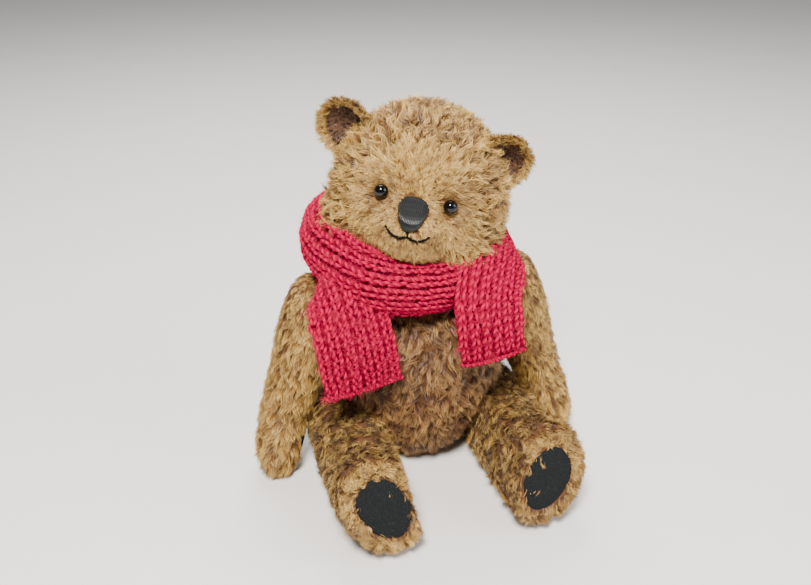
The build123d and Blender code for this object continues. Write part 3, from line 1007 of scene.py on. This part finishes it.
def make_nose():
    """Satin stitches side by side down the tip of the muzzle, raised in a dome."""
    across = np.linspace(-1, 1, NOSE_STITCHES)
    top = NOSE_UP + NOSE_H * (0.25 + 0.75 * np.sqrt(1 - 0.97 * across ** 2))
    bottom = NOSE_UP - NOSE_H * np.sqrt(1 - 0.98 * np.abs(across) ** 2.2)
    t = np.linspace(0, 1, 14)
    z = top[:, None] + (bottom - top)[:, None] * t
    x = (across * NOSE_W)[:, None] * (1 - 0.14 * t ** 2)
    dome = np.sqrt(np.clip(1 - (0.92 * across[:, None]) ** 2, 0, 1))
    crown = dome * np.sin(math.pi * np.clip(t, 0.06, 0.94)) ** 0.6
    stitches = head_place.out(face_point(x, z, 0.2 + 2.1 * crown))
    nose = tubes("nose_satin_stitch", stitches, NOSE_THREAD_R, 8)
    dress(nose, nose_thread, "head")
    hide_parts("nose_stitching")


def make_mouth():
    """A stem and two turned-up branches of thread."""
    s = np.linspace(0, 1, 16)
    lines = [np.stack([0 * s, NOSE_UP - NOSE_H + 0.3 - 1.8 * s], -1)]
    for reach in MOUTH_REACH:
        lines.append(np.stack([reach * s, NOSE_UP + mouth_line(reach * s)], -1))
    lines = np.array(lines)
    stitches = head_place.out(face_point(lines[..., 0], lines[..., 1], 0.55))
    mouth = tubes("mouth_stitch", stitches, MOUTH_THREAD_R, 8)
    dress(mouth, mouth_thread, "head")
    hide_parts("mouth_stitching")


make_nose()
make_mouth()


# ======================================================================================
# Scarf: one long rib-knitted strip, twice round the neck
# ======================================================================================
# Centre of the strip, the direction across it (towards the neck, or towards the middle on the
# hanging ends), its width, and how tightly it is bunched across (0 is flat), end to end.
STRIP = [
    ((-20.8, -26.6, 35.5), (1.0, 0.05, 0.07), 20.5, 0.010),
    ((-21.9, -27.4, 42.5), (1.0, 0.03, 0.02), 20.5, 0.015),
    ((-23.2, -27.2, 51.0), (0.98, -0.04, -0.16), 20.5, 0.02),
    ((-25.0, -24.0, 60.0), (0.88, -0.20, 0.10), 19.5, 0.06),
    ((-26.0, -12.5, 65.5), (0.50, 0.0, 0.85), 19.0, 0.11),
    ((-25.0, 3.0, 64.5), (0.30, 0.0, 0.95), 19.0, 0.13),
    ((-18.0, 17.0, 64.0), (0.20, -0.15, 0.96), 19.0, 0.13),
    ((-3.0, 23.0, 63.0), (0.0, -0.15, 0.98), 19.0, 0.13),
    ((13.0, 17.5, 62.0), (-0.15, -0.12, 0.97), 19.0, 0.13),
    ((20.5, 3.0, 61.5), (-0.25, 0.0, 0.97), 18.5, 0.14),
    ((18.0, -13.0, 61.5), (-0.18, 0.2, 0.97), 18.0, 0.15),
    ((8.0, -23.5, 61.8), (-0.05, 0.28, 0.97), 17.5, 0.16),
    ((-6.0, -27.2, 62.8), (0.02, 0.28, 0.97), 17.5, 0.15),
    ((-19.0, -25.5, 65.0), (0.12, 0.22, 0.97), 18.5, 0.14),
    ((-27.3, -14.0, 67.0), (0.24, 0.06, 0.96), 19.0, 0.125),
    ((-29.3, 1.0, 67.5), (0.22, 0.0, 0.97), 19.0, 0.12),
    ((-23.5, 17.5, 68.0), (0.20, -0.12, 0.97), 19.0, 0.12),
    ((-7.0, 26.0, 66.8), (0.03, -0.15, 0.98), 19.0, 0.12),
    ((12.0, 21.5, 66.3), (-0.12, -0.15, 0.97), 19.0, 0.12),
    ((21.5, 8.0, 67.0), (-0.35, -0.05, 0.93), 18.5, 0.11),
    ((22.0, -6.0, 68.0), (-0.62, 0.05, 0.78), 18.0, 0.08),
    ((15.5, -21.5, 66.5), (-0.92, 0.12, 0.38), 18.0, 0.05),
    ((11.2, -29.5, 58.0), (-0.98, 0.05, 0.12), 18.0, 0.025),
    ((11.5, -31.2, 49.5), (-0.99, 0.04, 0.10), 17.5, 0.015),
    ((13.2, -30.2, 41.0), (-0.98, 0.03, 0.14), 17.0, 0.03),
]
STRIP_FLAT = 21.0        # width of the strip laid flat
strip_centre = np.array([c for c, _, _, _ in STRIP])
strip_across = unit([a for _, a, _, _ in STRIP])
strip_width = np.array([w for _, _, w, _ in STRIP])
strip_bunch = np.array([b for _, _, _, b in STRIP])
fine_keys = np.concatenate([[0], np.cumsum(np.linalg.norm(np.diff(strip_centre, axis=0), axis=1))])
fine_at = np.linspace(0, fine_keys[-1], 1500)
fine_line = smooth_between(fine_keys, strip_centre, fine_at)
true_way = np.concatenate([[0], np.cumsum(np.linalg.norm(np.diff(fine_line, axis=0), axis=1))])
STRIP_LONG = true_way[-1]


def strip(s, w, height=0.0):
    """The point of the strip s along it and w across it, height above its face."""
    key = np.interp(s, true_way, fine_at)
    centre = smooth_between(fine_keys, strip_centre, key)
    ahead = unit(smooth_between(fine_keys, strip_centre, np.minimum(key + 0.3, fine_keys[-1]))
                 - smooth_between(fine_keys, strip_centre, np.maximum(key - 0.3, 0)))
    side = smooth_between(fine_keys, strip_across, key)
    normal = unit(np.cross(side, ahead))
    side = np.cross(ahead, normal)
    bunch = np.interp(key, fine_keys, strip_bunch)
    share = np.interp(key, fine_keys, strip_width) / STRIP_FLAT
    turn = (w * share * bunch)[..., None]
    bend = bunch[..., None]
    around = np.sin(turn) / bend * side - (1 - np.cos(turn)) / bend * normal
    face = normal * np.cos(turn) + side * np.sin(turn)
    return centre + around + face * (height if np.isscalar(height) else height[..., None])


RIBS = 6
RIB = 3.5                # pitch of the ribs across the strip
ROW = 2.15               # pitch of the stitches along it
YARN_R, EDGE_YARN_R = 0.50, 0.58
HALF_BAND = 10.4         # half the width of the band under the stitches
ON_LOOP = np.linspace(0, 1, 8)[None, :]      # from one end of a loop of yarn to the other


def make_stitches():
    """Two lobes for each stitch, which lean out from the rib's middle and rise between their ends."""
    t = ON_LOOP
    rows = int(STRIP_LONG / ROW) - 1
    row, rib, leg = np.meshgrid(np.arange(rows), np.arange(RIBS), [-1, 1], indexing="ij")
    row, rib, leg = (a.ravel()[:, None] for a in (row, rib, leg))
    wander = rng.normal(0, 0.16, (len(row), 1))
    lobe_s = (row + 0.55) * ROW + (1.45 * t - 0.45) * ROW + rng.normal(0, 0.15, (len(row), 1))
    lobe_w = (rib - (RIBS - 1) / 2) * RIB + leg * (0.16 + 0.84 * np.sin(t * math.pi / 2) ** 0.9) + wander
    lobe_h = (0.45 + 0.62 * np.sin(np.clip(t * 1.05, 0, 1) * math.pi) ** 0.8
              + rng.normal(0, 0.12, (len(row), 1)))
    lobe_s = np.clip(lobe_s, 0.2, STRIP_LONG - 0.2)
    lobes = strip(lobe_s, lobe_w, lobe_h)
    lobe_up = strip(lobe_s, lobe_w, lobe_h + 1.0) - lobes
    taper = np.array([0.7, 0.95, 1.05, 1.1, 1.1, 1.05, 0.9, 0.65])[None, :]
    half_way = len(lobes) // 2
    made = []
    for i, part in enumerate((slice(0, half_way), slice(half_way, None))):
        piece = tubes(f"scarf_knit_{i + 1}", lobes[part], YARN_R, 6, 0.85, lobe_up[part], taper)
        made.append(dress(piece, wool, "torso"))
    return made


def make_edges():
    """Cast-on and cast-off edges: a chain of small loops across each end."""
    t = ON_LOOP
    w0 = np.linspace(-9.6, 9.6, 11)[:, None]
    edges = []
    for start in (0.35, STRIP_LONG - 0.35):
        edge_w = w0 + 2.3 * (t - 0.5)
        edge_s = start + 0.35 * np.sin(t * TAU) + 0 * w0
        edge_h = 0.15 + 0.55 * np.sin(t * math.pi) + 0 * w0
        edges.append(strip(edge_s, edge_w, edge_h))
    return dress(tubes("scarf_edges", np.concatenate(edges), EDGE_YARN_R, 6, 0.9), wool, "torso")


def make_band():
    """The strip itself: a closed band with a groove between its ribs."""
    w = np.linspace(-HALF_BAND, HALF_BAND, 73)
    groove = 0.28 * np.cos(TAU * w / RIB + math.pi)
    s_rows = np.linspace(0.4, STRIP_LONG - 0.4, 300)[:, None]
    upper = strip(s_rows + 0 * w, w + 0 * s_rows, groove + 0 * s_rows)
    under = strip(s_rows + 0 * w, w[::-1] + 0 * s_rows, -0.9 + groove[::-1] + 0 * s_rows)
    made = closed_grid("scarf_strip", np.concatenate([upper, under], axis=1))
    # The band's darker wool is painted shade between the ribs.
    return dress(made, wool_painted_shade, "torso")


knit = make_stitches() + [make_edges()]
band = make_band()
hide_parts("scarf")


def strip_face(u, v):
    return strip(np.clip(u, 0, 1) * STRIP_LONG, (v - 0.5) * STRIP_FLAT, 0.75)


def along_strip(local, world):
    return np.cross(unit(world - [-2, -2, 60]), [0, 0, 1.0]) + 0.01


fuzz = grow("scarf_fuzz", Sprout(strip_face, None, 1), along_strip, 4200, 4, 1.9, 0.08, rng, wool_fuzz,
            "torso", lift=0.6, tuft_r=0.9, curl=0.45, mess=1.4, steps=3, gather=0.1)


# ======================================================================================
# Floor, light and camera
# ======================================================================================
def floor_finish():
    kit = Kit("pale_floor")
    grain = kit.noise(60.0)
    return kit.finish(Base_Color=kit.mix(grain, "e9e6e1", "e4e1dc"), Roughness=0.8)


half_floor = 3000.0
corners = np.array([[-1, -1, 0], [1, -1, 0], [1, 1, 0], [-1, 1, 0]]) * half_floor
floor = make_mesh("floor", corners, [np.array([[0, 1, 2, 3]])], smooth=False)
floor.data.materials.append(floor_finish())


def make_sky():
    """Pale, slightly blue light from all round."""
    sky = bpy.data.worlds.new("studio")
    bpy.context.scene.world = sky
    sky.use_nodes = True
    background = sky.node_tree.nodes["Background"]
    background.inputs[0].default_value = (0.92, 0.95, 1.0, 1)
    background.inputs[1].default_value = 0.26


make_sky()


def frame_at(origin, axes):
    """The matrix of an object at origin, its own axes in the columns of axes."""
    return Matrix([list(axes[i]) + [origin[i]] for i in range(3)] + [[0, 0, 0, 1]])


def lamp(name, place, size, watts, color):
    """A square soft light that faces the middle of the bear."""
    light = bpy.data.lights.new(name, "AREA")
    light.size, light.energy, light.color = size, watts, color
    made = bpy.data.objects.new(name, light)
    bpy.context.scene.collection.objects.link(made)
    at = np.array(place)
    back = unit(at - [0, 0, 0.05])
    side = unit(np.cross([0, 0, 1.0], back))
    basis = np.stack([side, np.cross(back, side), back], axis=1)
    made.matrix_world = frame_at(at, basis)


lamp("key", (-0.16, -0.34, 0.54), 0.14, 10.0, (1.0, 0.96, 0.90))
lamp("fill", (0.45, -0.30, 0.30), 0.35, 2.2, (0.93, 0.96, 1.0))
lamp("top", (0.05, 0.28, 0.50), 0.30, 3.0, (1.0, 0.98, 0.95))

AZIMUTH, ELEVATION, DISTANCE = -16.0, 27.0, 243.24
LOOK_AT = np.array([-4.55, -8.0, 52.0])
SENSOR, FOCAL_LENGTH = 36.0, 39.95


def make_camera():
    az, el = math.radians(AZIMUTH), math.radians(ELEVATION)
    away = np.array([math.sin(az) * math.cos(el), -math.cos(az) * math.cos(el), math.sin(el)])
    right = np.array([math.cos(az), math.sin(az), 0])
    basis = np.stack([right, np.cross(away, right), away], axis=1)
    lens = bpy.data.cameras.new("camera")
    lens.sensor_width, lens.lens = SENSOR, FOCAL_LENGTH
    lens.clip_start = 0.01
    camera = bpy.data.objects.new("camera", lens)
    bpy.context.scene.collection.objects.link(camera)
    camera.matrix_world = frame_at((LOOK_AT + away * DISTANCE) * MM, basis)
    bpy.context.scene.camera = camera


make_camera()
